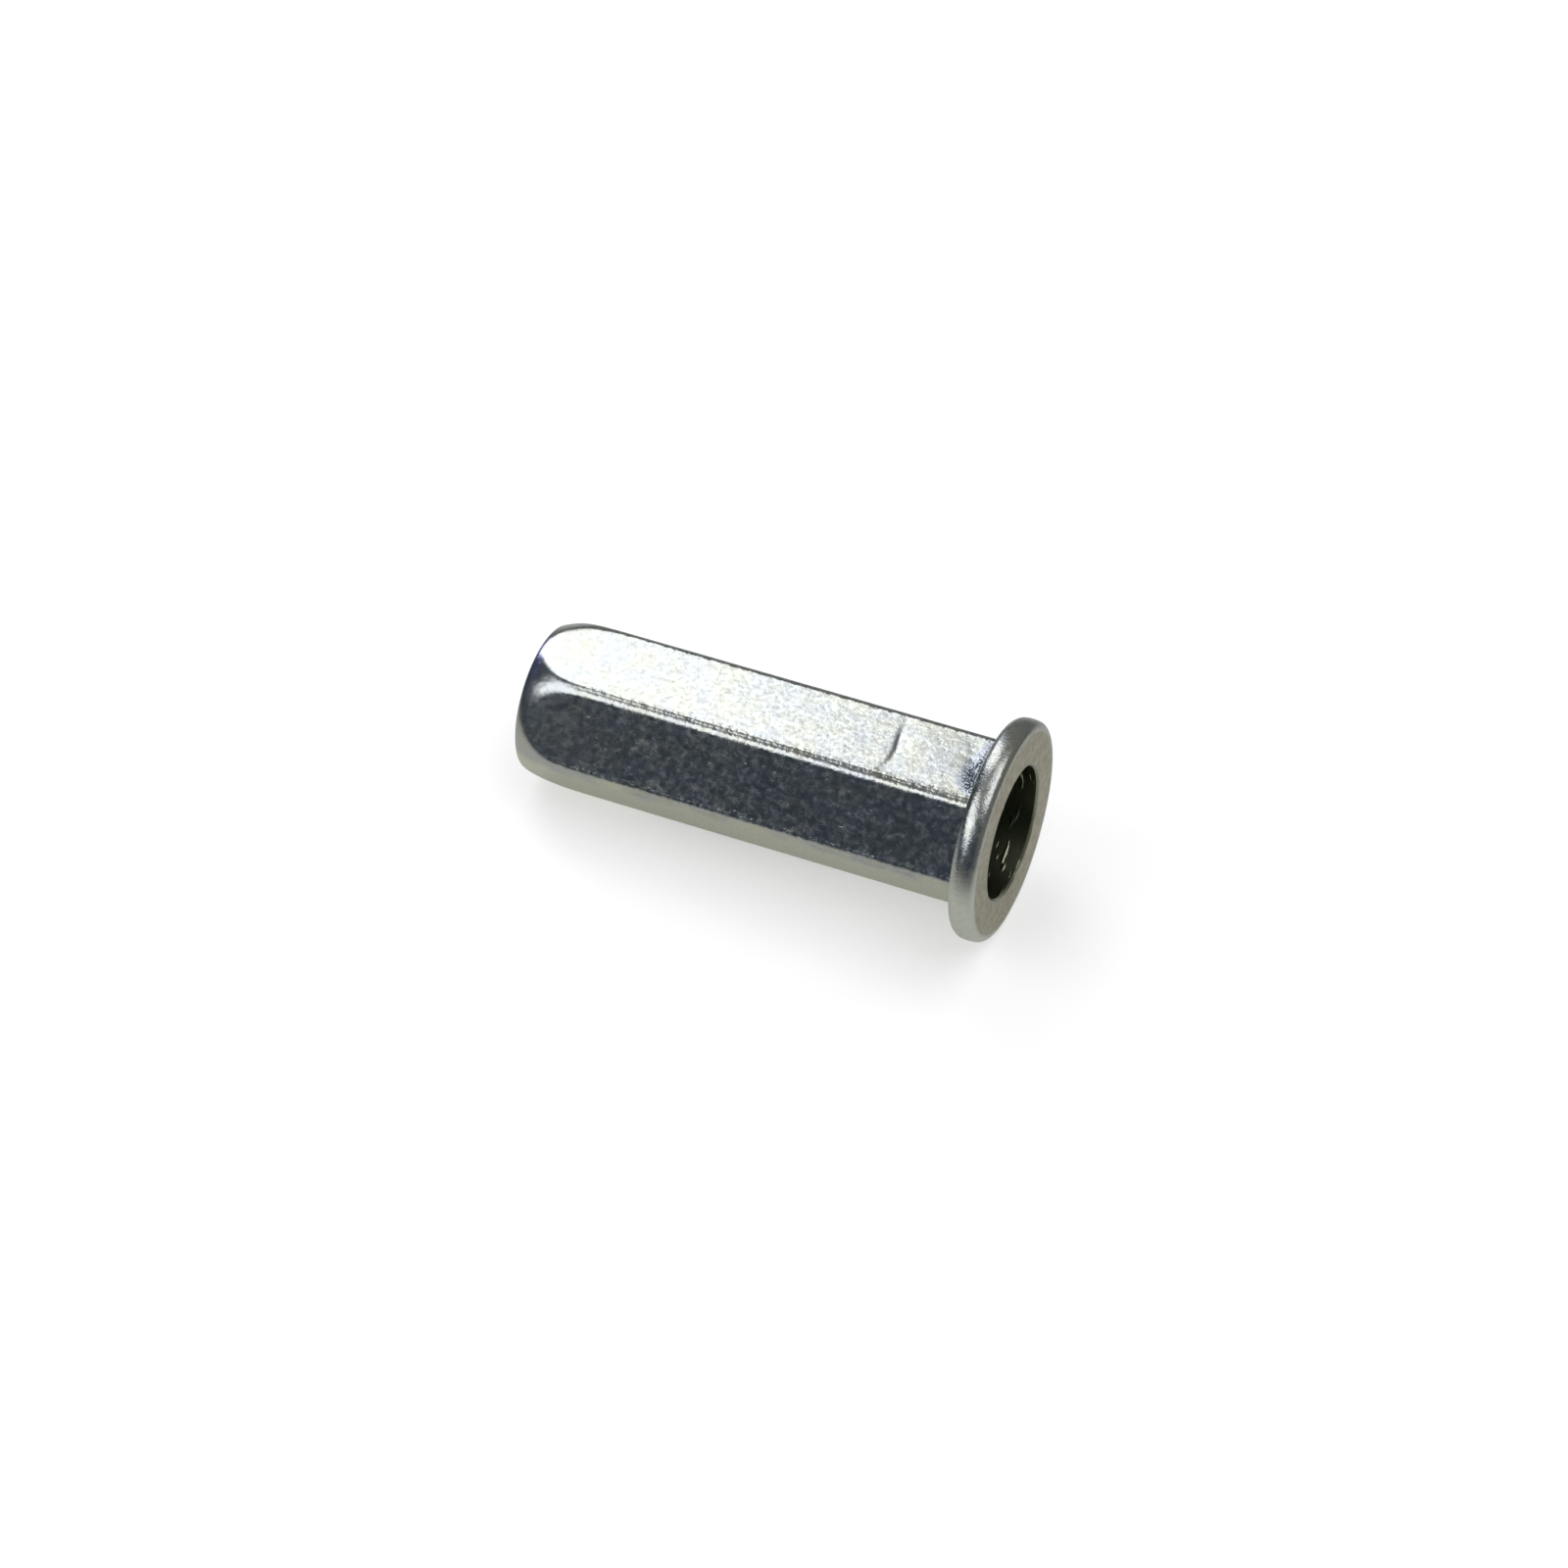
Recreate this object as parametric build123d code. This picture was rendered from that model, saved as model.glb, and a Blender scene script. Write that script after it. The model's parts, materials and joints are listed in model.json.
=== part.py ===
from build123d import *
from math import asin, atan2, degrees, hypot, radians, sqrt, tan
import os

# A rivet nut for an M6 screw, made of one piece of cold-formed steel. It has a thin flat flange, a
# hexagonal shank that can't turn in its hole, a thin-walled length below the flange that folds up
# behind the sheet when the nut is set, and a threaded length with a closed, rounded end.
#
# Each feature is modelled upright: the axis is Z, the closed end stands at z = 0 and the mouth is on
# top. The finished nut is then laid down as it comes to rest, on the rim of its flange and the far end
# of one flat: its axis points along +X and rises to the mouth, and its box stands on z = 0, centred.

# Driving dimensions, in mm.
total_length = 29.0
across_flats = 8.95             # slides into a 9 mm hexagonal hole
hexagon_corner_radius = 0.85
flange_diameter = 13.0
flange_thickness = 1.5
rim_front_radius = 0.35
rim_back_radius = 0.42
neck_radius = 0.15              # inside corner between the shank and the flange

cup_diameter = 10.12            # the drawn cup, before its hexagon is pressed
nose_length = 3.5               # the closed end narrows over this length
nose_radius = 8.0
end_edge_radius = 0.3

folding_bore_diameter = 7.8     # clears the screw, and leaves the thin wall that folds
folding_bore_depth = 11.5
mouth_chamfer = 0.15
thread_root_diameter = 6.1      # M6 internal thread, to the bottom of its grooves
thread_length = 12.0
pilot_diameter = 5.0            # the hole that the thread was cut in
pilot_length = 0.65             # what shows of it below the thread
drill_point_angle = 118.0

# Heights along the axis that follow from them.
seat_height = total_length - flange_thickness
folding_bore_floor = total_length - folding_bore_depth
thread_top = folding_bore_floor - (folding_bore_diameter - thread_root_diameter) / 2
thread_bottom = thread_top - thread_length
pilot_top = thread_bottom - (thread_root_diameter - pilot_diameter) / 2
pilot_floor = pilot_top - pilot_length
drill_tip = pilot_floor - pilot_diameter / 2 / tan(radians(drill_point_angle / 2))


def nose_height_at(radius):
    """Height at which the rounded nose has this radius."""
    from_centre = radius - (cup_diameter / 2 - nose_radius)
    return nose_length - sqrt(nose_radius**2 - from_centre**2)


def nose_radius_at(height):
    """Radius of the rounded nose at this height."""
    below_start = nose_length - height
    return cup_diameter / 2 - nose_radius + sqrt(nose_radius**2 - below_start**2)


def turned(section):
    """The solid that a section, drawn in radius and height, sweeps around the axis."""
    return revolve(Plane.XZ * section, Axis.Z)


def drawn_cup():
    """The round cup that the shank is pressed from, with its rounded nose and flat end."""
    end_radius = nose_radius_at(0)
    nose_start = (cup_diameter / 2, nose_length)
    outline = Curve() + [
        Line((0, 0), (end_radius, 0)),
        TangentArc(nose_start, (end_radius, 0), tangent=(0, -1)),
        Polyline(nose_start, (cup_diameter / 2, seat_height), (0, seat_height), (0, 0)),
    ]
    section = make_face(outline)
    end_corner = section.vertices().sort_by_distance((end_radius, 0))[0]
    return turned(fillet(end_corner, end_edge_radius))


def hexagon():
    """The pressed hexagon, with its rounded corners and one flat facing +X."""
    outline = RegularPolygon(across_flats / 2, 6, major_radius=False, rotation=30)
    outline = fillet(outline.vertices(), hexagon_corner_radius)
    return extrude(outline, amount=seat_height)


def flange():
    """The thin flat flange, with both edges of its rim rounded."""
    rim = flange_diameter / 2
    section = make_face(
        Polyline((0, seat_height), (rim, seat_height), (rim, total_length), (0, total_length), close=True)
    )
    back_corner = section.vertices().sort_by_distance((rim, seat_height))[0]
    section = fillet(back_corner, rim_back_radius)
    front_corner = section.vertices().sort_by_distance((rim, total_length))[0]
    return turned(fillet(front_corner, rim_front_radius))


def hole():
    """The stepped blind hole: broken edge, folding bore, thread at its root size, pilot, drill point."""
    bore = folding_bore_diameter / 2
    root = thread_root_diameter / 2
    pilot = pilot_diameter / 2
    outline = Polyline(
        (0, drill_tip),
        (pilot, pilot_floor),
        (pilot, pilot_top),
        (root, thread_bottom),
        (root, thread_top),
        (bore, folding_bore_floor),
        (bore, total_length - mouth_chamfer),
        (bore + mouth_chamfer, total_length),
        (0, total_length),
        close=True,
    )
    return turned(make_face(outline))


def upright_nut():
    """The whole nut, standing on its closed end."""
    nut = drawn_cup() & hexagon()
    nut = nut + flange()
    on_seat = nut.edges().filter_by_position(Axis.Z, seat_height, seat_height)
    neck = [edge for edge in on_seat if hypot(*tuple(edge @ 0.5)[:2]) < cup_diameter / 2]
    nut = fillet(neck, neck_radius)
    return nut - hole()


def resting_tilt():
    """Degrees that the axis rises towards the mouth when the nut lies on its rim and a flat's end."""
    touch_height = nose_height_at(across_flats / 2)
    along = seat_height + rim_back_radius - touch_height
    outward = flange_diameter / 2 - rim_back_radius - across_flats / 2
    return degrees(atan2(outward, along) + asin(rim_back_radius / hypot(along, outward)))


def laid_down(nut):
    """The nut as it comes to rest, standing on z = 0 with its box centred on the origin."""
    nut = Rot(0, 90 - resting_tilt(), 0) * nut
    box = nut.bounding_box()
    return Pos(-box.center().X, 0, -box.min.Z) * nut


rivet_nut = laid_down(upright_nut())

os.makedirs("parts", exist_ok=True)
export_step(rivet_nut, "parts/rivet_nut.step")
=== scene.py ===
# %% [markdown]
# # A zinc-plated rivet nut
# This file dresses one small part: a rivet nut for an M6 screw. It is a steel cup with a flat flange, a
# hexagonal shank and a closed, rounded end; a tool pulls on its thread, and the thin wall below the flange
# folds up behind the sheet. The frame that is loaded here holds the nut's solid at its true size and place.
# What is added is what the eye meets: flats pressed as the real ones are, the screw thread, and the thin
# zinc that covers it all.

# %% Load the nut's frame
import json
from math import asin, atan2, cos, degrees, exp, pi, radians, sin, sqrt, tan

import bmesh
import bpy
from mathutils import Euler, Matrix, Vector, noise

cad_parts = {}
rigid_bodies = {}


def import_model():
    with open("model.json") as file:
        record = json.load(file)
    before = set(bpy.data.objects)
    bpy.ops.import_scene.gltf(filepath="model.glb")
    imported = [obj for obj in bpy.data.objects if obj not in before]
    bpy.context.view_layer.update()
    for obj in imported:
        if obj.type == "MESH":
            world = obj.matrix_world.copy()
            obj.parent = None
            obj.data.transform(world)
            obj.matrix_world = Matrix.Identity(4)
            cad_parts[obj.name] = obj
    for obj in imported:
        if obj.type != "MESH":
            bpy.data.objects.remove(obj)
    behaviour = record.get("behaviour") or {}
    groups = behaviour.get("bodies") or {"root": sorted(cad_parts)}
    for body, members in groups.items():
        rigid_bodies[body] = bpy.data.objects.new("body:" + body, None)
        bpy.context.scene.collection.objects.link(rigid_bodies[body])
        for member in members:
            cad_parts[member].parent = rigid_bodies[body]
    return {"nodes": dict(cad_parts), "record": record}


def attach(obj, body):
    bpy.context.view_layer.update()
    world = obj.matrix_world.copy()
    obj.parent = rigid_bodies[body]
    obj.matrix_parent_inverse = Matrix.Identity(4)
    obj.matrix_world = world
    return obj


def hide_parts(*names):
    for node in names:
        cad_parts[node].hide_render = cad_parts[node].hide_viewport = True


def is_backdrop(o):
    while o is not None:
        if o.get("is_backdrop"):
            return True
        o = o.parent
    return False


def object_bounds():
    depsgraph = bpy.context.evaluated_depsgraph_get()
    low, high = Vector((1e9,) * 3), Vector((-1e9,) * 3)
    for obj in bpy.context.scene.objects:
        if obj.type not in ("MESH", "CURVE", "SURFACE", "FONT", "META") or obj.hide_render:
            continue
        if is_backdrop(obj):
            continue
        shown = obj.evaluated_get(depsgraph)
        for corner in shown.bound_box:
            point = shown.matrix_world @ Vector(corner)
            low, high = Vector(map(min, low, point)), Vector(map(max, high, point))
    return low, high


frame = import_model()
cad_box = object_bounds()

print("The nut's box in mm:", [round(1000 * side, 2) for side in cad_box[1] - cad_box[0]])

# %% [markdown]
# ## Where the nut lies
# The nut rests on the rim of its flange and the end of one flat, so its axis rises a little towards the
# mouth. The record's mounts say where that axis runs and how deep each hole goes. We make three directions
# from it: along the axis, up out of the top flat, and sideways. Everything is drawn upright on its own axis
# in millimetres, which keeps the numbers plain, and is laid down once at the end.

# %% Read the axis and the sizes
mounts = {mount["name"]: mount for mount in frame["record"]["mounts"]}


def place_of(name):
    """A mount's point, in metres."""
    return Vector(mounts[name]["pos_m"])


along = Vector(mounts["thread"]["axis"])
up_from_flat = Vector((-along.z, 0, along.x))
sideways = along.cross(up_from_flat)
flange_thickness = 1000 * (place_of("flange_face") - place_of("flange_seat")).dot(along)
seat_height = mounts["hexagonal_shank"]["dims"]["length_mm"]
total_length = seat_height + flange_thickness
to_face = (place_of("flange_face") - place_of("thread")).dot(along)
closed_end = place_of("thread") + along * (to_face - total_length / 1000)

lay_down = Matrix((up_from_flat, sideways, along)).transposed().to_4x4()
lay_down.translation = closed_end
lay_down = lay_down @ Matrix.Scale(0.001, 4)

bore_radius = mounts["folding_bore"]["dims"]["r_mm"]
root_radius = mounts["thread"]["dims"]["r_mm"]
thread_length = mounts["thread"]["dims"]["length_mm"]
rim_radius = 1000 * (cad_box[1].y - cad_box[0].y) / 2
print(f"axis rises {degrees(asin(along.z)):.2f} degrees")
print(f"length {total_length:.2f} mm, flange {2 * rim_radius:.2f} x {flange_thickness:.2f} mm")

# %% [markdown]
# The hexagon's size isn't one of the mounts, so it is measured on the solid itself. Turned back upright,
# the corners of its shank are the furthest points from the axis, and the top flat is the furthest in its
# direction.

# %% Measure the hexagon on the solid
neck_radius = 0.15              # the small inside corner between the shank and the flange
slack = 0.005                   # so that the shank's last points are counted too
upright = [lay_down.inverted() @ vertex.co for vertex in frame["nodes"]["rivet_nut"].data.vertices]
shank_points = [point for point in upright if point.z < seat_height - neck_radius + slack]
half_flats = max(point.x for point in shank_points)
crest_radius = max(point.to_2d().length for point in shank_points)
print(f"across flats {2 * half_flats:.3f} mm, across the rounded corners {2 * crest_radius:.3f} mm")

# %% [markdown]
# ## The camera
# The camera looks down on the nut from in front and a little to the right, so the mouth, two flats and the
# rounded closed end all show. A long lens from 27 cm flattens it as a catalogue picture does. The camera is
# turned a few degrees about its own line of sight, and nothing else tilts the nut in the picture.

# %% Set up the camera
camera_azimuth = radians(20.57)
camera_elevation = radians(48.69)
camera_roll = radians(3.45)
camera_distance = 0.27128       # in metres, like the point that it aims at
aim_point = Vector((0.00088, -0.00109, 0.00533))

back = Vector((
    sin(camera_azimuth) * cos(camera_elevation),
    -cos(camera_azimuth) * cos(camera_elevation),
    sin(camera_elevation),
))
camera = bpy.data.objects.new("camera", bpy.data.cameras.new("camera"))
bpy.context.collection.objects.link(camera)
camera.data.sensor_width = 36
camera.data.lens = 109.6
camera.data.clip_start = 0.01
camera.location = aim_point + back * camera_distance
camera.rotation_mode = "QUATERNION"
camera.rotation_quaternion = (-back).to_track_quat("-Z", "Y") @ Euler((0, 0, camera_roll)).to_quaternion()
bpy.context.scene.camera = camera
print("camera at", [round(1000 * c, 1) for c in camera.location], "mm")

# %% [markdown]
# ## Drawing an outline with two strokes
# The nut is a drawn and turned part, so its skin starts as one line: half of its section, from the middle
# of the closed end, round the outside, over the flange and down the hole. We draw that line as with a pen.
# Each step extrudes the last point to the next place, along a straight stroke or round an arc. A point
# layer notes which surface the stroke belongs to, and the spin that follows copies it to every vertex.

# %% The pen
class Pen:
    """Draws a section in the XZ plane, radius along X and height along Z, in millimetres."""

    def __init__(self, radius, height):
        self.mesh = bmesh.new()
        self.surface = self.mesh.verts.layers.int.new("surface")
        self.last = bmesh.ops.create_vert(self.mesh, co=(radius, 0, height))["vert"][0]

    def step(self, place, surface):
        """Extrudes the last point to this place."""
        self.last = bmesh.ops.extrude_vert_indiv(self.mesh, verts=[self.last])["verts"][0]
        self.last.co = place
        self.last[self.surface] = surface

    def line(self, radius, height, pieces, surface):
        """A straight stroke to a point, in equal pieces."""
        start, end = self.last.co.copy(), Vector((radius, 0, height))
        for piece in range(pieces):
            self.step(start.lerp(end, (piece + 1) / pieces), surface)

    def arc(self, centre_radius, centre_height, angle, pieces, surface):
        """An arc about a centre. A positive angle turns from radius towards height."""
        centre = Vector((centre_radius, 0, centre_height))
        spoke = self.last.co - centre
        for piece in range(pieces):
            turn = Matrix.Rotation(-angle * (piece + 1) / pieces, 3, "Y")
            self.step(centre + turn @ spoke, surface)


# %% [markdown]
# ## The outline of the nut
# The closed end narrows along an arc of 8 mm radius and meets the flat end in a small rounded edge. Where a
# round edge joins that arc, its centre lies as far inside the arc as it lies above the end, which gives the
# point where one turns into the other without a kink. The shank gets many short pieces, because its flats
# are pressed and worn afterwards, and the flange gets its two rounded edges. The hole steps down from the
# folding bore to the thread, the pilot hole and the drill's point.

# %% Name the sizes of the outline
OUTSIDE, RIM, FACE, BORE = range(4)     # the surfaces that the strokes belong to
cup_radius = 5.06
nose_length = 3.5
nose_radius = 8.0
end_edge = 0.3
rim_back = 0.42
rim_front = 0.35
mouth_chamfer = 0.15
folding_bore_floor = total_length - mounts["folding_bore"]["dims"]["length_mm"] - mouth_chamfer
thread_top = folding_bore_floor - (bore_radius - root_radius)
thread_bottom = thread_top - thread_length
pilot_radius = 2.5
pilot_length = 0.65             # what shows of the pilot hole below the thread
pilot_top = thread_bottom - (root_radius - pilot_radius)
pilot_floor = pilot_top - pilot_length
drill_point_angle = 118
drill_tip = pilot_floor - pilot_radius / tan(radians(drill_point_angle / 2))
print(f"folding bore to {folding_bore_floor:.2f} mm, thread to {thread_bottom:.2f}, tip at {drill_tip:.2f}")

# %% [markdown]
# Most pieces of the shank are long, and those near the die's mark are short, so that the mark can be cut in
# sharply. Heights are measured from the closed end.

# %% Draw the outline
die_mark_height = 21.75         # a line that the hexagon's die left across the flats
fine_from, fine_to = die_mark_height - 0.8, die_mark_height + 1.0
nose_centre = cup_radius - nose_radius
edge_centre = nose_centre + sqrt((nose_radius - end_edge) ** 2 - (nose_length - end_edge) ** 2)
join_angle = atan2(end_edge - nose_length, edge_centre - nose_centre)

pen = Pen(0, 0)
pen.line(edge_centre, 0, 4, OUTSIDE)
pen.arc(edge_centre, end_edge, pi / 2 + join_angle, 5, OUTSIDE)
pen.arc(nose_centre, nose_length, -join_angle, 24, OUTSIDE)
pen.line(cup_radius, fine_from, 60, OUTSIDE)
pen.line(cup_radius, fine_to, 18, OUTSIDE)
pen.line(cup_radius, seat_height - neck_radius, 24, OUTSIDE)
pen.arc(cup_radius + neck_radius, seat_height - neck_radius, -pi / 2, 4, OUTSIDE)
pen.line(rim_radius - rim_back, seat_height, 4, OUTSIDE)
pen.arc(rim_radius - rim_back, seat_height + rim_back, pi / 2, 8, RIM)
pen.line(rim_radius, total_length - rim_front, 5, RIM)
pen.arc(rim_radius - rim_front, total_length - rim_front, pi / 2, 7, RIM)
pen.line(bore_radius + mouth_chamfer, total_length, 8, FACE)
pen.line(bore_radius, total_length - mouth_chamfer, 2, BORE)
pen.line(bore_radius, folding_bore_floor, 14, BORE)
pen.line(root_radius, thread_top, 2, BORE)
pen.line(root_radius, thread_bottom, 6, BORE)
pen.line(pilot_radius, pilot_top, 2, BORE)
pen.line(pilot_radius, pilot_floor, 2, BORE)
pen.line(0, drill_tip, 3, BORE)
print("points on the outline:", len(pen.mesh.verts))
print("outline from", pen.mesh.verts[:][0].co[:], "to", pen.last.co[:])

# %% [markdown]
# ## Spinning the skin
# The real cup is drawn round before its hexagon is pressed, and the skin follows the same order. One full
# spin of the outline about the axis makes a closed body of revolution. The points on the axis would be
# copied once for each column, so doubles are merged, and then the normals are made to point outwards. The
# number of columns is a multiple of six, so that every flat gets the same ones.

# %% Spin the outline
COLUMNS = 432
skin = pen.mesh
bmesh.ops.spin(
    skin, geom=skin.verts[:] + skin.edges[:], cent=(0, 0, 0), axis=(0, 0, 1),
    angle=2 * pi, steps=COLUMNS, use_merge=True, use_duplicate=False,
)
bmesh.ops.remove_doubles(skin, verts=skin.verts[:], dist=1e-5)
bmesh.ops.recalc_face_normals(skin, faces=skin.faces[:])
open_edges = sum(not edge.is_manifold for edge in skin.edges)
print(f"skin: {len(skin.faces)} faces, {open_edges} open edges, {skin.calc_volume(signed=True):.0f} mm3")

# %% [markdown]
# ## Pressing the hexagon
# In a section across the shank each side is a straight line out to the rounded corner, so the distance from
# the axis to the hexagon is a formula in the angle from the nearest flat's middle. Where the nose is
# narrower than the hexagon the press hasn't reached it, so the skin takes the smaller of the two. A true
# minimum leaves a knife edge, and a press leaves a soft one, so the smaller of the two is taken with a
# small rounding.

# %% The hexagon as a formula
SIDE = pi / 3
corner_radius = (half_flats / cos(SIDE / 2) - crest_radius) / (1 / cos(SIDE / 2) - 1)
corner_centre = crest_radius - corner_radius
corner_starts = SIDE / 2 - atan2(corner_centre * sin(SIDE / 2), half_flats)
press_softness = 0.12
crowding = 0.62                 # 0 leaves the columns evenly spaced, and 1 heaps them on the corners


def from_flat(angle):
    """The angle from the middle of the nearest flat, within half a side each way."""
    return (angle + SIDE / 2) % SIDE - SIDE / 2


def hexagon_radius(angle):
    """How far the rounded hexagon lies from the axis in this direction."""
    to_corner = SIDE / 2 - abs(from_flat(angle))
    if to_corner > corner_starts:
        return half_flats / cos(from_flat(angle))
    half_chord = corner_radius ** 2 - (corner_centre * sin(to_corner)) ** 2
    return corner_centre * cos(to_corner) + sqrt(half_chord)


def nose_radius_at(height):
    """How far the nose lies from the axis. Past the corners' radius it goes on straight, clear of them."""
    crossing = nose_length - sqrt(nose_radius ** 2 - (crest_radius - nose_centre) ** 2)
    reached = min(height, crossing)
    radius = nose_centre + sqrt(nose_radius ** 2 - (nose_length - reached) ** 2)
    slope = (nose_length - crossing) / (crest_radius - nose_centre)
    return radius + slope * (height - reached)


def soft_minimum(a, b, softness):
    """The smaller of two lengths, rounded where they are nearly equal."""
    overlap = max(softness - abs(a - b), 0) / softness
    return min(a, b) - overlap ** 2 * softness / 4


print(f"corners rounded to {corner_radius:.2f} mm, each {2 * degrees(corner_starts):.1f} degrees wide")

# %% [markdown]
# Every point of the outside now moves straight in or out to the pressed shape. The columns are first
# crowded towards the six corners, where the surface turns fastest. Across the back of the flange that fades
# away, so that the rim keeps evenly spaced columns and stays round.

# %% Press the flats
surface = skin.verts.layers.int["surface"]
seat_inner, seat_outer = cup_radius + neck_radius, rim_radius - rim_back
nearly_on_axis = 1e-4


def ramp(value, start, length):
    """0 up to a start, rising evenly to 1 over a length, and 1 beyond it."""
    return min(max((value - start) / length, 0), 1)


for vertex in skin.verts:
    radius, height = vertex.co.to_2d().length, vertex.co.z
    if vertex[surface] != OUTSIDE or radius < nearly_on_axis:
        continue
    angle = atan2(vertex.co.y, vertex.co.x)
    on_shank = ramp(seat_outer - radius, 0, seat_outer - seat_inner)
    angle += on_shank * crowding / 6 * sin(6 * angle)
    if height > end_edge:
        drawn = nose_radius_at(height)
        pressed = soft_minimum(drawn, hexagon_radius(angle), press_softness)
        radius += (pressed - min(cup_radius, drawn)) * on_shank
    vertex.co.xy = radius * cos(angle), radius * sin(angle)
print(f"after pressing: {skin.calc_volume(signed=True):.0f} mm3")

# %% [markdown]
# ## Marks of the press
# No flat of a pressed nut is a mirror. It is slightly wavy, its corners are nicked along their length, and
# the end of the die left a thin line across the flats. All of these are hundredths of a millimetre, and on
# shining metal they are what the eye sees first. A bump map would fake them, but they are cut in the mesh,
# so that the bare shape has them too. Two shapes are enough to draw them: smooth noise, and a soft hump.

# %% Two shapes for small marks
def ripple(place, size, seed):
    """Smooth noise from -1 to 1 whose lumps measure about this size in mm."""
    return noise.noise(place / size + Vector((seed, 0, 0)))


def hump(distance, width):
    """1 at no distance, falling smoothly to nothing over a few widths."""
    return exp(-((distance / width) ** 2))


print("a hump one width from its middle:", round(hump(1, 1), 2))

# %% [markdown]
# The die's end pressed a line that wanders across the top flat: it bows towards the flange near the middle,
# with a kink beside the bow, and it is deepest near the middle too. From the closed end's side the skin
# drops into it at once, and towards the flange it rises slowly. On the other flats the line is faint.

# %% The line that the die left
TOP_FLAT = 0                    # the sides are counted from here, round the nut
clear_mark, faint_mark = 0.036, 0.008   # depths in mm
drop_length, rise_length = 0.14, 0.5


def die_mark(across, height, side):
    """How far the skin stands out at the die's line, which is less than nothing: the line is a groove."""
    wander = 0.3 * hump(across - 0.7, 1.5) - 0.2 * hump(across - 2.0, 0.3)
    wander += 0.05 * noise.noise(Vector((across / 0.6, side, 3.1)))
    beyond = height - die_mark_height - wander
    strength = 0.75 + 0.4 * hump(across - 0.2, 1.2) - 0.4 * hump(across + 2.4, 1.0)
    depth = clear_mark if side == TOP_FLAT else faint_mark
    return -depth * strength * exp(-abs(beyond) / (drop_length if beyond < 0 else rise_length))


print(f"in the middle of the top flat: {die_mark(0, die_mark_height, TOP_FLAT):.3f} mm")

# %% [markdown]
# Two sizes of wave run over every flat, the corners are nicked, and beside the flange the top flat is
# bruised.

# %% Waves, nicks and a bruise
wave_height, fine_wave_height = 0.005, 0.0022
nick_depth = 0.008
bruise_depth, bruise_roughness = 0.02, 0.012
bruise_height = 26.5


def flat_relief(place, angle, side):
    """How far the shank's skin stands out from its true form here, in mm."""
    radius, height = place.to_2d().length, place.z
    across = radius * sin(from_flat(angle))
    near_corner = hump(SIDE / 2 - abs(from_flat(angle)), radians(5))
    on_flat = 1 - near_corner
    relief = wave_height * ripple(place, 3.2, 1.7) + fine_wave_height * ripple(place, 0.8, 5.3)
    relief -= near_corner * nick_depth * abs(ripple(place, 0.55, 9.1))
    relief += on_flat * die_mark(across, height, side)
    if side == TOP_FLAT:
        bruise = hump(height - bruise_height - 0.25 * across, 0.45) * hump(across + 0.2, 1.3)
        relief -= on_flat * bruise * (bruise_depth + bruise_roughness * ripple(place, 0.35, 2.2))
    return relief


# %% [markdown]
# The rim wasn't turned flat but swelled out as the flange was pressed, so it is highest along its middle,
# and by different amounts round the nut. The swelling starts just past the flange's back, which stays flat.

# %% The swollen rim
mean_bulge, upper_bulge, uneven_bulge = 0.085, 0.04, 0.05
bulge_width = 0.5
small_nicks, large_nicks = 0.003, 0.012
settling_length = 0.15


def rim_relief(place, angle):
    """How far the rim stands out from its true cylinder: only its middle reaches that far."""
    from_middle = place.z - seat_height - flange_thickness / 2
    bulge = mean_bulge + upper_bulge * cos(angle - radians(20)) + uneven_bulge * ripple(place, 2.6, 6.2)
    nicks = small_nicks * abs(ripple(place, 0.3, 8.1)) + large_nicks * abs(ripple(place, 1.3, 4.4))
    settled = ramp(place.z, seat_height, settling_length)
    return -settled * (bulge * (1 - hump(from_middle, bulge_width)) + nicks)


# %% [markdown]
# The marks are worked in last, each point moving straight in or out by its relief. They grow from nothing
# just above the flat end, so that its rounded edge stays whole.

# %% Work them into the skin
growing_length = 0.8
for vertex in skin.verts:
    radius, height = vertex.co.to_2d().length, vertex.co.z
    angle = atan2(vertex.co.y, vertex.co.x)
    if vertex[surface] == OUTSIDE and end_edge < height < seat_height - neck_radius:
        relief = flat_relief(vertex.co, angle, round(angle / SIDE) % 6)
        relief *= ramp(height, end_edge, growing_length)
    elif vertex[surface] == RIM:
        relief = rim_relief(vertex.co, angle)
    else:
        continue
    vertex.co.xy *= 1 + relief / radius
print(f"after wear: {skin.calc_volume(signed=True):.0f} mm3")

# %% [markdown]
# ## Where each finish lies
# The finish differs by surface: the shank and rim are bright, the turned face is matt, and the hole is dull
# and dark. The underside of the rim and of the shank carries a painted reflection of the floor, a pale
# straw or silver; the nose has a faint violet patch; the top flat beside the flange has a stain with
# painted shade over it; and the corners of the hexagon are worn. Where each of them lies is known here,
# from angle and height, so every vertex keeps a weight for it, which the material reads. Painting the
# weights by hand would look the same, but nobody could read afterwards what was meant.

# %% Note the surfaces
for name, number in (("rim", RIM), ("face", FACE), ("bore", BORE)):
    weight = skin.verts.layers.float.new(name)
    for vertex in skin.verts:
        vertex[weight] = vertex[surface] == number
    print(name, "points:", sum(vertex[surface] == number for vertex in skin.verts))

# %% [markdown]
# How far the skin counts as facing down follows from how far it faces up or down, with a little noise in
# the border. The material makes it duller by that weight, and lays a painted reflection of the floor over
# it. The flat end has neither of the next two weights. The violet patch sits on the top of the nose, off to
# one side.

# %% Note the underside, with its painted reflection of the floor, and the violet patch
FACING_DOWN_STARTS = {RIM: (0.5, 0.35), OUTSIDE: (0.02, 0.15)}  # from this share of upward, over this much
flat_end_height = 0.1           # neither weight reaches below this
violet_height, violet_angle = 0.4, radians(12)

# How far the skin faces down: the material dulls it by this, and lays a painted reflection of the floor by
# it.
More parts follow.
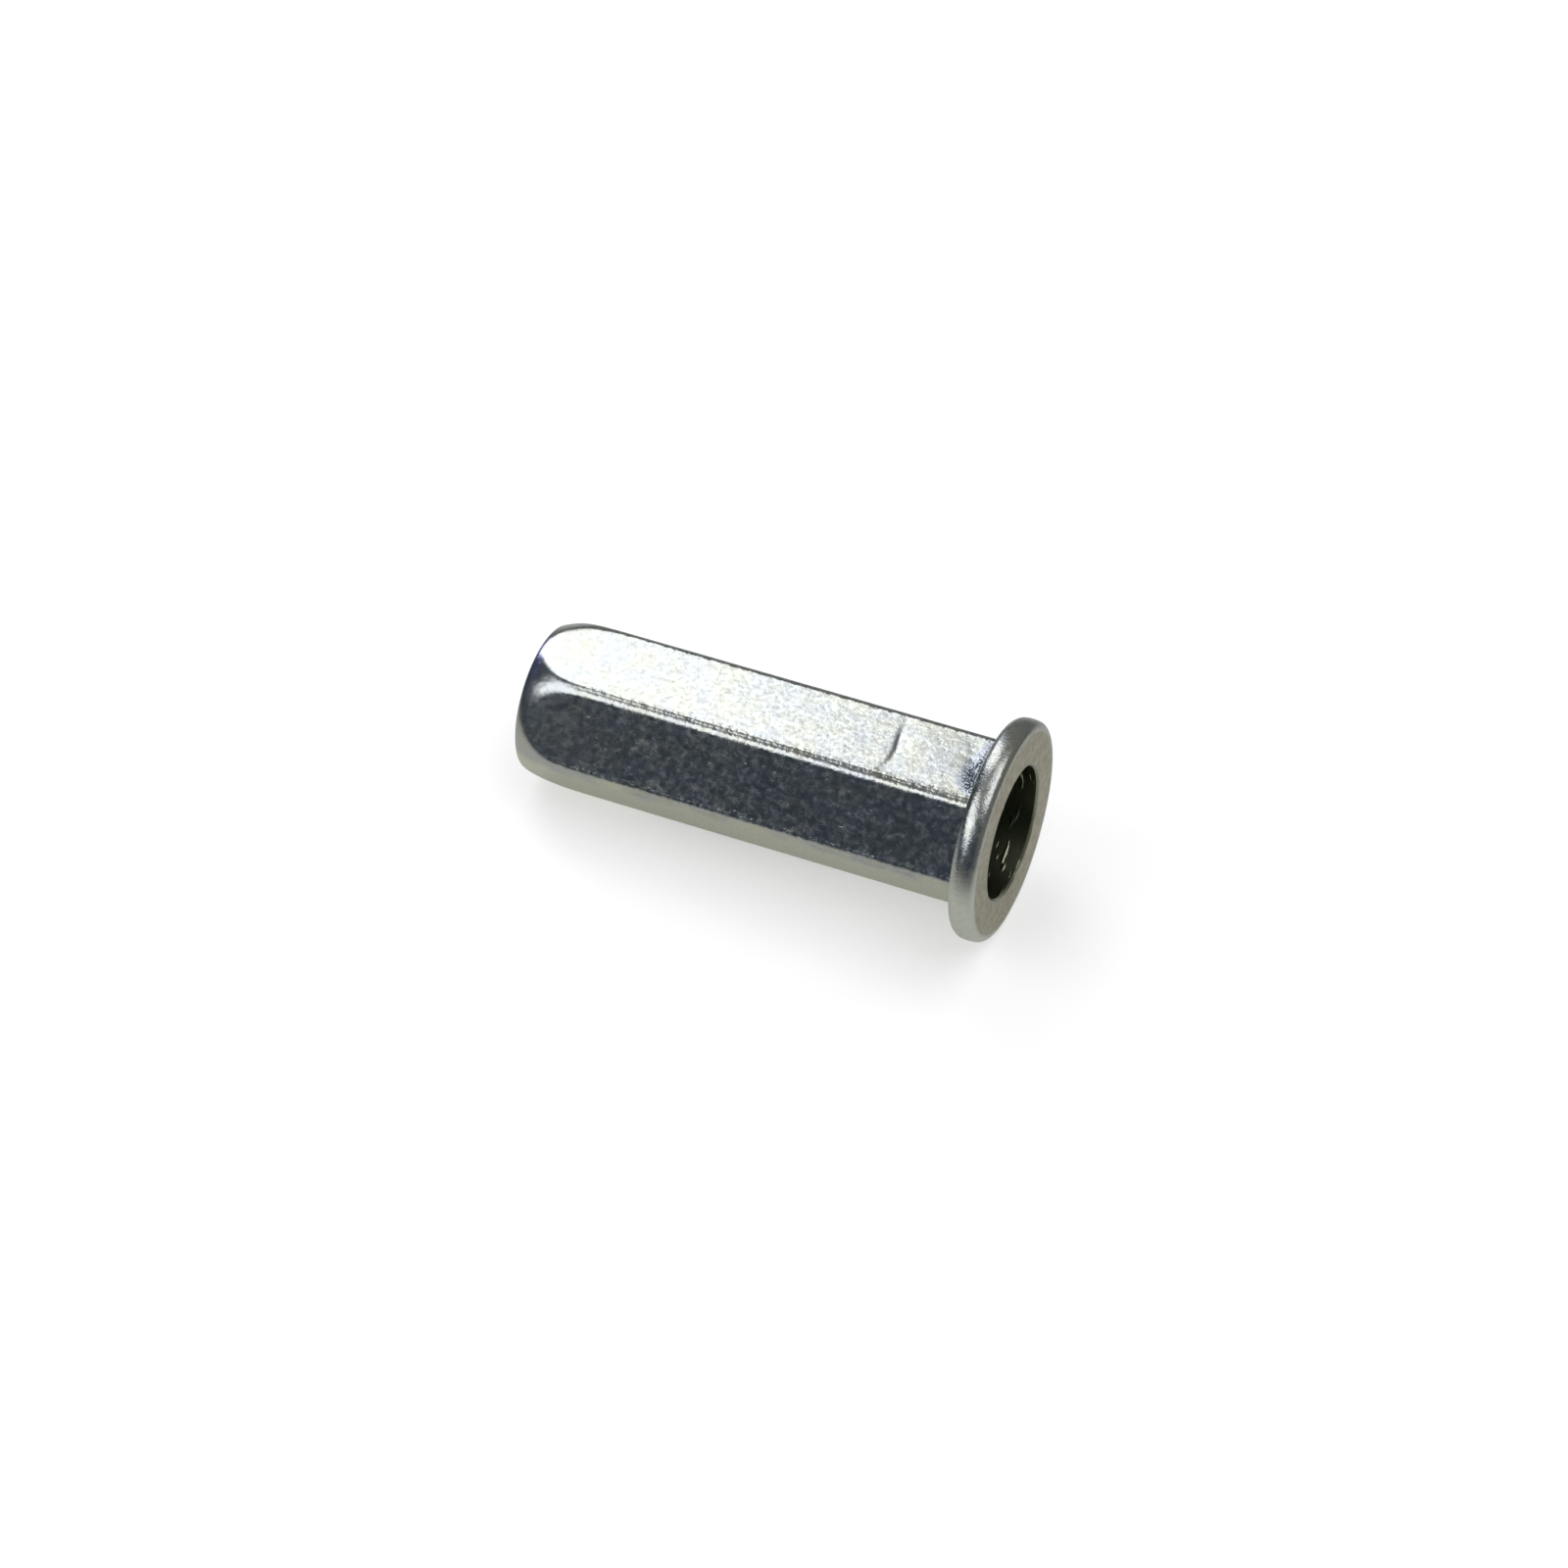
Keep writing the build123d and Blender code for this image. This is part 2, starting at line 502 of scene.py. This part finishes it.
facing_down = skin.verts.layers.float.new("facing_down")
violet = skin.verts.layers.float.new("violet")
for vertex in skin.verts:
    if vertex[surface] not in FACING_DOWN_STARTS or vertex.co.z <= flat_end_height:
        continue
    starts, spread = FACING_DOWN_STARTS[vertex[surface]]
    upward = vertex.co.x / vertex.co.to_2d().length + 0.12 * ripple(vertex.co, 1.5, 3.3)
    vertex[facing_down] = ramp(starts - upward, 0, spread)
    angle = atan2(vertex.co.y, vertex.co.x)
    vertex[violet] = hump(vertex.co.z - violet_height, 0.4) * hump(angle - violet_angle, radians(18))
print("dull points:", sum(vertex[facing_down] > 0.5 for vertex in skin.verts))

# %% [markdown]
# Wear follows the corners, which lie 30 degrees from the middle of a flat. Along the top flat it is a
# narrow line, on the next two flats a wider one, and on the lower two a broad band beside each corner. The
# stain with painted shade covers the top flat beside the flange, up to a wavering border: the painted shade
# stands for the dark corner where the flat meets the flange, and for the flange's dark back mirrored in it.

# %% Note the worn corners, and the stain with painted shade
UPPER_FLATS, LOWER_FLATS = (1, 5), (2, 4)
wear_height, wear_length = 2.6, 1.5     # the wear starts past the nose
stain_and_shade_height, stain_and_shade_length = 26.5, 0.75


def corner_wear(from_middle, side):
    """How worn the skin is, by its angle from the middle of its flat."""
    if side == TOP_FLAT:
        return hump(abs(from_middle) - radians(27.6), radians(1.4))
    if side in UPPER_FLATS:
        downward = from_middle if side == 1 else -from_middle
        wear = 0.4 * hump(downward + radians(28), radians(2))
        return wear + 0.5 * hump(downward - radians(27), radians(3))
    return 0.5 if side in LOWER_FLATS and abs(from_middle) > radians(15) else 0


worn_edge = skin.verts.layers.float.new("edge")
# The stain beside the flange also carries painted shade.
stain_and_shade = skin.verts.layers.float.new("stain_and_shade")
for vertex in skin.verts:
    height = vertex.co.z
    if vertex[surface] != OUTSIDE or not end_edge < height < seat_height:
        continue
    angle = atan2(vertex.co.y, vertex.co.x)
    from_middle, side = from_flat(angle), round(angle / SIDE) % 6
    vertex[worn_edge] = ramp(height, wear_height, wear_length) * corner_wear(from_middle, side)
    if side == TOP_FLAT:
        across = vertex.co.to_2d().length * sin(from_middle)
        border = stain_and_shade_height - 0.7 * hump(across - 0.6, 1.6) + 0.9 * hump(across - 2.4, 0.5)
        vertex[stain_and_shade] = ramp(height, border, stain_and_shade_length)
print("weights kept on the skin:", [layer.name for layer in skin.verts.layers.float.values()])

# %% [markdown]
# Edges that turn sharply, such as the mouth's chamfer, are marked sharp, so that smooth shading doesn't
# smear a shadow across them. Then the skin is laid down where the frame's nut lies, in metres. It stays an
# object at the origin, unturned and unscaled, because its points are moved and not the object.

# %% Lay the skin down
sharpest_smooth = radians(25)


def as_object(mesh, name):
    """Makes a bmesh an object at the origin."""
    data = bpy.data.meshes.new(name)
    mesh.to_mesh(data)
    mesh.free()
    made = bpy.data.objects.new(name, data)
    bpy.context.collection.objects.link(made)
    print(f"{name}: {sum(len(polygon.vertices) - 2 for polygon in data.polygons)} triangles")
    return made


def as_piece(mesh, name):
    """Marks the sharp edges, lays an upright mesh down on the frame's nut and makes it an object."""
    for edge in mesh.edges:
        edge.smooth = edge.calc_face_angle(0) < sharpest_smooth
    for face in mesh.faces:
        face.smooth = True
    bmesh.ops.transform(mesh, matrix=lay_down, verts=mesh.verts[:])
    return as_object(mesh, name)


nut = as_piece(skin, "plated_nut")

# %% [markdown]
# ## The screw thread
# The thread is cut with a tap, which leaves one ridge of trapezoid section winding down the hole: 60
# degrees between its sides, a flat crest, and one turn to each millimetre. Its section is one small face. A
# spin with a step along the axis winds that face into a helix, and closes it at both ends. A right-hand
# thread climbs towards the mouth as it turns from X to Y. Over the last third of a turn at each end the
# ridge runs out into the wall.

# %% Wind the thread
PITCH = 1.0
STEPS_PER_TURN = 72
crest = 2.46
crest_rounding = 0.06
base = root_radius + 0.01       # sunk a little into the wall, so that no gap shows
half_crest = PITCH / 8
flank_angle = 60
half_base = half_crest + (base - crest) * tan(radians(flank_angle / 2))
turns = thread_length / PITCH - 1
first = thread_bottom + PITCH / 2
run_out_turns = 0.3

thread = bmesh.new()
corners = [(base, -half_base), (crest, -half_crest), (crest, half_crest), (base, half_base)]
section = [thread.verts.new((radius, 0, first + height)) for radius, height in corners]
thread.faces.new(section)
bmesh.ops.bevel(
    thread, geom=section[1:3], offset=crest_rounding, segments=2, profile=0.5, affect="VERTICES",
    material=-1,
)
bmesh.ops.spin(
    thread, geom=thread.faces[:] + thread.edges[:] + thread.verts[:], cent=(0, 0, 0), axis=(0, 0, 1),
    dvec=(0, 0, PITCH / STEPS_PER_TURN), angle=2 * pi * turns, steps=round(turns * STEPS_PER_TURN),
    use_duplicate=False,
)
for vertex in thread.verts:
    radius = vertex.co.to_2d().length
    start = atan2(vertex.co.y, vertex.co.x) / (2 * pi)
    turn = start + round((vertex.co.z - first) / PITCH - start)
    run_out = 1 - ramp(min(turn, turns - turn), 0, run_out_turns)
    vertex.co.xy *= 1 + (base - radius) * run_out / radius
bmesh.ops.recalc_face_normals(thread, faces=thread.faces[:])
open_edges = sum(not edge.is_manifold for edge in thread.edges)
print(f"thread: {len(thread.faces)} faces, {open_edges} open edges")
ridge = as_piece(thread, "screw_thread")

# %% [markdown]
# ## Helpers for node graphs
# A finish is a graph of nodes: patterns are narrowed and mixed, and led into one shader. Each helper here
# adds one node and returns its output, so that a finish reads as a list of steps. An argument may be a
# plain value, which is set on the socket, or the output of another node, which is linked. The floor, the
# surround and the room use the same helpers.

# %% The helpers
class Graph:
    """The nodes of a material or of the world, and short ways to add to them."""

    def __init__(self, owner):
        owner.use_nodes = True
        self.tree = owner.node_tree

    def set(self, node, name, value):
        """Sets an input of a node, or links it. A plain colour is three numbers."""
        socket = node.inputs[name]
        if isinstance(value, bpy.types.NodeSocket):
            self.tree.links.new(value, socket)
        else:
            socket.default_value = (*value, 1) if socket.type == "RGBA" else value

    def add(self, kind, output, **inputs):
        """Adds a node with these inputs and returns one of its outputs."""
        node = self.tree.nodes.new(kind)
        for name, value in inputs.items():
            self.set(node, name.replace("_", " "), value)
        return node.outputs[output]

    def coordinates(self):
        """Places in the object's own frame, in metres."""
        return self.add("ShaderNodeTexCoord", "Object")

    def split(self, place):
        """The three coordinates of a place."""
        node = self.tree.nodes.new("ShaderNodeSeparateXYZ")
        self.set(node, "Vector", place)
        return node.outputs["X"], node.outputs["Y"], node.outputs["Z"]

    def distance(self, place):
        """How far a place lies from the origin."""
        node = self.tree.nodes.new("ShaderNodeVectorMath")
        node.operation = "LENGTH"
        self.set(node, 0, place)
        return node.outputs["Value"]

    def narrow(self, value, low, high, to_low=0.0, to_high=1.0):
        """Stretches the part of a value from low to high over a new range, and clamps the rest."""
        limits = {"From_Min": low, "From_Max": high, "To_Min": to_low, "To_Max": to_high}
        return self.add("ShaderNodeMapRange", "Result", Value=value, **limits)

    def math(self, operation, a, b):
        """One sum of two values."""
        node = self.tree.nodes.new("ShaderNodeMath")
        node.operation = operation
        self.set(node, 0, a)
        self.set(node, 1, b)
        return node.outputs[0]

    def mix(self, factor, a, b):
        """A colour between two others."""
        node = self.tree.nodes.new("ShaderNodeMix")
        node.data_type = "RGBA"
        for number, value in ((0, factor), (6, a), (7, b)):
            self.set(node, number, value)
        return node.outputs[2]

    def cover(self, factor, below, above):
        """One shader laid over another, by this share."""
        node = self.tree.nodes.new("ShaderNodeMixShader")
        for number, value in enumerate((factor, below, above)):
            self.set(node, number, value)
        return node.outputs[0]


# %% [markdown]
# The zinc needs a few more. Its patterns are noise on the object's own coordinates, turned so that they run
# along the nut. Weights come from the mesh, and bumps are laid one on another.

# %% More helpers for the zinc
class Plating(Graph):
    """A graph with patterns that lie along the nut, the skin's weights, and bumps."""

    def __init__(self, owner):
        super().__init__(owner)
        rise = (0, asin(along.z), 0)
        self.along_nut = self.add("ShaderNodeMapping", "Vector", Vector=self.coordinates(), Rotation=rise)

    def pattern(self, size, detail=2.0, stretch=(1, 1, 1)):
        """Noise from 0 to 1 whose lumps measure this size in mm, drawn out along the nut by a stretch."""
        scale = [1000 / size / drawn for drawn in stretch]
        place = self.add("ShaderNodeMapping", "Vector", Vector=self.along_nut, Scale=scale)
        return self.add("ShaderNodeTexNoise", "Fac", Vector=place, Scale=1.0, Detail=detail)

    def weight(self, name):
        """A weight that the mesh keeps on its vertices."""
        node = self.tree.nodes.new("ShaderNodeAttribute")
        node.attribute_name = name
        return node.outputs["Fac"]

    def bump(self, height, depth, below=None):
        """Fine relief of this depth in mm, on top of another normal."""
        node = self.tree.nodes.new("ShaderNodeBump")
        self.set(node, "Distance", depth / 1000)
        self.set(node, "Height", height)
        if below is not None:
            self.set(node, "Normal", below)
        return node.outputs["Normal"]


# %% [markdown]
# ## Zinc plating
# The nut is steel with a few thousandths of a millimetre of zinc, passivated to a faint blue or straw tint.
# Zinc grows in grains, so it glitters rather than shines, and tumbling with other nuts leaves small scuffs.
# The colour is a metal's, cloudy between two tints and greyer where the grains are worn. The stain with
# painted shade beside the flange, the painted reflection of the floor on the underside, and the violet are
# laid over it by the skin's weights. The face was turned, and is matt. The hole takes little zinc.

# %% Name the tints
SILVER_BLUE = (0.43, 0.45, 0.42)        # the two tints of the bright zinc
SILVER_STRAW = (0.455, 0.465, 0.385)
GREY_GRAIN = (0.33, 0.35, 0.335)        # the worn tops of its grains
# The stain beside the flange, with painted shade: a pale tint, and dark specks that stand for the dark
# corner at the flange and its mirrored back.
PALE_STAIN_AND_SHADE = (0.37, 0.40, 0.41)         # beside the flange, with dark specks in it
DARK_SPECKS_OF_SHADE = (0.04, 0.05, 0.06)
# Painted reflection of the floor below, lighter than the bright zinc: pale straw under the shank, pale
# silver under the rim.
PAINTED_FLOOR_STRAW = (0.645, 0.65, 0.48)        # the underside of the shank
PAINTED_FLOOR_SILVER = (0.66, 0.685, 0.575)      # the underside of the rim
VIOLET = (0.50, 0.49, 0.72)             # the patch on the nose
MATT_FACE = (0.47, 0.46, 0.325)         # the turned face, and where it is worn
WORN_FACE = (0.34, 0.305, 0.21)
DULL_BORE = (0.24, 0.26, 0.17)
print("bright zinc lies between", SILVER_BLUE, "and", SILVER_STRAW)

# %% [markdown]
# Four sizes of noise serve colour, gloss and relief alike, so that a grain which is greyer is also duller
# and stands out. Small dings are the few peaks of a fifth. The grey of the worn grains grows towards the
# flange.

# %% Make the patterns
zinc_plating = bpy.data.materials.new("zinc_plating")
zinc = Plating(zinc_plating)
metal = zinc.tree.nodes["Principled BSDF"]
clouds = zinc.pattern(1.6, detail=3.0)
blotches = zinc.pattern(0.5, detail=3.0)
grains = zinc.pattern(0.27, detail=2.5)
specks = zinc.pattern(0.12, detail=1.0)
mottle = zinc.math("ADD", zinc.math("MULTIPLY", blotches, 0.5), zinc.math("MULTIPLY", grains, 0.5))
dings = zinc.narrow(zinc.pattern(0.25, detail=0.0), 0.79, 0.85)
edge, stain_and_shade_weight = zinc.weight("edge"), zinc.weight("stain_and_shade")
face, bore = zinc.weight("face"), zinc.weight("bore")
rim, facing_down = zinc.weight("rim"), zinc.weight("facing_down")
far_along = zinc.split(zinc.along_nut)[0]
print("nodes for the patterns:", len(zinc.tree.nodes))

# %% [markdown]
# The colours are laid on in layers, each one covering what lies below it by its own weight. The dark specks
# of painted shade reach over their limit only where the stain and shade lift them. The underside's painted
# reflection of the floor is pale straw on the shank and pale silver on the rim.

# %% Colour the zinc
colour = zinc.mix(zinc.narrow(clouds, 0.38, 0.62), SILVER_BLUE, SILVER_STRAW)
worn = zinc.narrow(far_along, -0.012, 0.004, 0.1, 0.45)
colour = zinc.mix(zinc.narrow(grains, 0.5, 0.75, 0.0, worn), colour, GREY_GRAIN)
# Stain and painted shade beside the flange.
colour = zinc.mix(zinc.narrow(stain_and_shade_weight, 0.0, 0.4), colour, PALE_STAIN_AND_SHADE)
# Dark specks of painted shade, only where the stain and shade weight lifts them.
speckled_shade = zinc.narrow(zinc.math("ADD", zinc.math("MULTIPLY", stain_and_shade_weight, 0.45), specks), 0.83, 0.93)
colour = zinc.mix(speckled_shade, colour, DARK_SPECKS_OF_SHADE)
colour = zinc.mix(zinc.weight("violet"), colour, VIOLET)
# The underside gets a painted reflection of the floor, by how far it faces down.
painted_floor_reflection = zinc.mix(rim, PAINTED_FLOOR_STRAW, PAINTED_FLOOR_SILVER)
painted_reflection_share = zinc.math("MULTIPLY", facing_down, zinc.narrow(mottle, 0.36, 0.56, 0.55, 1.0))
colour = zinc.mix(painted_reflection_share, colour, painted_floor_reflection)
turned = zinc.mix(zinc.narrow(mottle, 0.42, 0.62), MATT_FACE, WORN_FACE)
colour = zinc.mix(face, colour, turned)
colour = zinc.mix(bore, colour, DULL_BORE)
zinc.set(metal, "Base Color", colour)
zinc.set(metal, "Metallic", 1.0)
print("nodes with the colours:", len(zinc.tree.nodes))

# %% [markdown]
# A dark reflection shows how even a finish is. Here small patches differ in roughness, which mottles the
# dark flat without spotting the bright one. The closed end keeps a more even finish, and the rim, the
# underside, the face and the hole are each duller by their own amount.

# %% Set how dull it is
smoothest = zinc.narrow(far_along, -0.015, -0.006, 0.19, 0.11)
roughest = zinc.narrow(far_along, -0.015, -0.006, 0.26, 0.31)
roughness = zinc.narrow(mottle, 0.36, 0.66, smoothest, roughest)
roughness = zinc.math("ADD", roughness, zinc.math("MULTIPLY", rim, 0.06))
roughness = zinc.math("ADD", roughness, zinc.math("MULTIPLY", facing_down, 0.14))
roughness = zinc.narrow(face, 0.0, 1.0, roughness, 0.4)
roughness = zinc.narrow(bore, 0.0, 1.0, roughness, 0.32)
zinc.set(metal, "Roughness", roughness)
print("nodes with the roughness:", len(zinc.tree.nodes))

# %% [markdown]
# The bumps are fine relief that a mesh this size can't hold: two sizes of grain, specks, small dings, grain
# torn up along the worn corners and specks on the rim, and the marks that the boring tool left round the
# hole. They take thousandths or hundredths of a millimetre.

# %% Roughen its surface
rings = zinc.narrow(zinc.pattern(0.45, detail=2.0, stretch=(1, 4, 4)), 0.58, 0.8)
uneven = zinc.narrow(face, 0.0, 1.0, 1.0, 0.3)
normal = zinc.bump(zinc.math("MULTIPLY", blotches, uneven), 0.007)
normal = zinc.bump(zinc.math("MULTIPLY", grains, uneven), 0.006, normal)
normal = zinc.bump(specks, 0.003, normal)
normal = zinc.bump(dings, 0.003, normal)
normal = zinc.bump(zinc.math("MULTIPLY", grains, edge), 0.05, normal)
normal = zinc.bump(zinc.math("MULTIPLY", specks, rim), 0.012, normal)
normal = zinc.bump(zinc.math("MULTIPLY", rings, bore), 0.09, normal)
zinc.set(metal, "Normal", normal)

for piece in (nut, ridge):
    piece.data.materials.append(zinc_plating)
print("nodes in the whole finish:", len(zinc.tree.nodes))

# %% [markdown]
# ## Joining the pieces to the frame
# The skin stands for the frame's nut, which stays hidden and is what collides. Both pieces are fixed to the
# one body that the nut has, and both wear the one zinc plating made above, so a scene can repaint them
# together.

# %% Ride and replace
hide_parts("rivet_nut")
for piece in (nut, ridge):
    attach(piece, "root")
print("pieces on the nut's body:", [piece.name for piece in (nut, ridge)])

# %% [markdown]
# ## The floor
# A metal part is mostly a picture of what stands round it. The pale floor is the lower half of that
# picture: it lights the underside, and keeps the soft shadow that tells where the nut touches. Lit by lamps
# that suit the nut, paper would come out grey. More light would spoil the nut, so the paper is mixed with a
# plain white of its own, which only the eye and reflections see, and which lights nothing. Beyond the reach
# of the lamps that white takes over, so that no grey horizon shows.

# %% Lay the floor
FLOOR_REACH = 3.0               # metres from the nut to each side
PAPER_WHITE = (0.93, 0.925, 0.90)
OWN_WHITE = 0.4                 # how much of what the eye sees beside the nut is the paper's plain white
WHITER_FROM, WHITER_TO = 0.1, 0.5       # the metres over which that grows to all of it


def seen_by_eye_or_mirror(graph):
    """1 for a ray from the eye, in a reflection or through glass, and 0 for light on matt things."""
    path = graph.tree.nodes.new("ShaderNodeLightPath")
    seen = path.outputs["Is Camera Ray"]
    for kind in ("Is Glossy Ray", "Is Transmission Ray"):
        seen = graph.math("MAXIMUM", seen, path.outputs[kind])
    return seen


white_paper = bpy.data.materials.new("white_paper")
paper = Graph(white_paper)
sheet = paper.tree.nodes["Principled BSDF"]
paper.set(sheet, "Base Color", PAPER_WHITE)
paper.set(sheet, "Roughness", 1.0)
paper.set(sheet, "Specular IOR Level", 0.0)
from_nut = paper.distance(paper.coordinates())
whiter = paper.narrow(from_nut, WHITER_FROM, WHITER_TO, OWN_WHITE, 1.0)
glare = paper.math("MULTIPLY", whiter, seen_by_eye_or_mirror(paper))
plain_white = paper.add("ShaderNodeEmission", "Emission")
whitened = paper.cover(glare, sheet.outputs["BSDF"], plain_white)
paper.set(paper.tree.nodes["Material Output"], "Surface", whitened)

floor_mesh = bmesh.new()
bmesh.ops.create_grid(floor_mesh, x_segments=1, y_segments=1, size=FLOOR_REACH)
floor = as_object(floor_mesh, "floor")
floor.data.materials.append(white_paper)
floor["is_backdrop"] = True

# %% [markdown]
# ## Lamps
# Three soft panels light the nut at a plain level. One hangs behind it on the left and fills the top flat;
# one hangs in front on the left and runs as a bright line along the corner between the two flats; and one,
# high on the right, gives the rim its second glint. Each is placed by where it is seen from the nut: its
# bearing, its height above the floor, and how many degrees it spans. A lamp's watts follow from how bright
# its face should be, so that 1 is a white sheet of paper.

# %% Hang the lamps
LAMP_DISTANCE = 0.6
LAMP_COLOUR = (0.90, 0.905, 1.0)


def panel(name, bearing, height, wide, tall, lean, brightness):
    """A soft lamp. Bearing 0 is behind the nut along +Y and 90 is to the right, all in degrees."""
    towards = Euler((radians(height), 0, -radians(bearing))).to_matrix() @ Vector((0, 1, 0))
    lamp = bpy.data.lights.new(name, "AREA")
    lamp.shape = "RECTANGLE"
    lamp.size = 2 * LAMP_DISTANCE * tan(radians(wide) / 2)
    lamp.size_y = 2 * LAMP_DISTANCE * tan(radians(tall) / 2)
    lamp.energy = brightness * pi * lamp.size * lamp.size_y
    lamp.color = LAMP_COLOUR
    hung = bpy.data.objects.new(name, lamp)
    bpy.context.collection.objects.link(hung)
    hung.location = towards * LAMP_DISTANCE
    hung.rotation_mode = "QUATERNION"
    leaning = Euler((0, 0, radians(lean))).to_quaternion()
    hung.rotation_quaternion = towards.to_track_quat("Z", "Y") @ leaning
    hung.visible_camera = False
    print(f"{name}: {lamp.size:.2f} x {lamp.size_y:.2f} m, {lamp.energy:.2f} W")


panel("back_panel", bearing=-47, height=36.5, wide=29, tall=47, lean=10, brightness=2.6)
panel("front_panel", bearing=-137, height=39, wide=50, tall=34, lean=-12, brightness=2.3)
panel("overhead_panel", bearing=80, height=71, wide=52, tall=34, lean=0, brightness=1.9)

# %% [markdown]
# ## The surround
# The surround is a white backdrop that has no end. It is white wherever the eye or a reflection looks past
# the floor. On matt things its light is weaker, so that it fills the shadow on the floor without washing it
# out.

# %% Light the surround
LIGHT_ON_MATT = 0.65            # 1 is a white sheet of paper

endless_white = bpy.data.worlds.new("surround")
bpy.context.scene.world = endless_white
surround = Graph(endless_white)
background = surround.tree.nodes["Background"]
level = surround.narrow(seen_by_eye_or_mirror(surround), 0.0, 1.0, LIGHT_ON_MATT, 1.0)
surround.set(background, "Color", (1, 1, 1))
surround.set(background, "Strength", level)
print("nodes in the surround:", len(surround.tree.nodes))

# %% [markdown]
# ## The room
# Bright metal in an all-white room looks like white plastic: it needs something dark to mirror. So a round
# room stands about the nut. Its outline is drawn with the same pen, a table top and a dome, and spun. Its
# faces needn't point one way, because a glowing surface looks the same from both sides.

# %% Build the room
room_radius = 900               # in mm, as for the nut
table_height = 0.5

dome = Pen(0.01, table_height)
dome.line(room_radius, table_height, 4, OUTSIDE)
dome.arc(0, table_height, pi / 2, 24, OUTSIDE)
bmesh.ops.spin(
    dome.mesh, geom=dome.mesh.verts[:] + dome.mesh.edges[:], cent=(0, 0, 0), axis=(0, 0, 1),
    angle=2 * pi, steps=96, use_merge=True, use_duplicate=False,
)
bmesh.ops.scale(dome.mesh, vec=(0.001, 0.001, 0.001), verts=dome.mesh.verts[:])
room = as_object(dome.mesh, "room")

# %% [markdown]
# The walls go from dark blue in front on the left to grey behind on the right, and the ceiling is grey. The
# room glows in these colours by itself, so that lamps can't change what the metal mirrors.

# %% Paint the room
NEAR_WALL = (0.049, 0.064, 0.096)
FAR_WALL = (0.22, 0.22, 0.22)
CEILING = (0.27, 0.26, 0.27)
WALLS_BLEND = 0.6               # metres on either side of the nut
CEILING_FROM, CEILING_TO = 0.7, 0.85    # metres above the floor

room_paint = bpy.data.materials.new("room_paint")
paint = Graph(room_paint)
paint.tree.nodes.clear()
place = paint.coordinates()
to_right, to_back, upward = paint.split(place)
farther = paint.narrow(paint.math("ADD", to_right, to_back), -WALLS_BLEND, WALLS_BLEND)
walls = paint.mix(farther, NEAR_WALL, FAR_WALL)
shades = paint.mix(paint.narrow(upward, CEILING_FROM, CEILING_TO), walls, CEILING)
glow = paint.add("ShaderNodeEmission", "Emission", Color=shades)
print("nodes in the room's paint:", len(paint.tree.nodes))

# %% [markdown]
# The table top half covers the paper beside the nut and hides it further out, as a dark card would. The
# opening is an oval, longer along the nut. Only reflections see the room: it stays out of the picture, and
# it neither casts a shadow nor lights anything.

# %% Open the table top round the nut
OPENING_SHAPE = (0.4, 0.7, 1)           # squeezes the oval to a circle
OPEN_TO, CLOSED_FROM = 0.010, 0.034     # that circle's radii, in metres
THINNEST_COVER = 0.48

squeezed = paint.add("ShaderNodeMapping", "Vector", Vector=place, Scale=OPENING_SHAPE)
covered = paint.narrow(paint.distance(squeezed), OPEN_TO, CLOSED_FROM, THINNEST_COVER, 1.0)
clear = paint.add("ShaderNodeBsdfTransparent", "BSDF")
output = paint.tree.nodes.new("ShaderNodeOutputMaterial")
paint.set(output, "Surface", paint.cover(covered, clear, glow))
room_paint.cycles.emission_sampling = "NONE"
room.data.materials.append(room_paint)
for sight in ("camera", "diffuse", "shadow", "transmission", "volume_scatter"):
    setattr(room, "visible_" + sight, False)
room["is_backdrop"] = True
print("only reflections see", room.name)

# %% [markdown]
# ## Print the sizes
# The skin must not outgrow the solid. Both boxes are printed.

# %% Print the sizes
bpy.context.scene.view_settings.view_transform = "Standard"
skin_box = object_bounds()
sizes = {"cad": [list(corner) for corner in cad_box], "visual": [list(corner) for corner in skin_box]}
for name, (low, high) in sizes.items():
    print(name, "box in mm:", [round(1000 * (b - a), 3) for a, b in zip(low, high)])
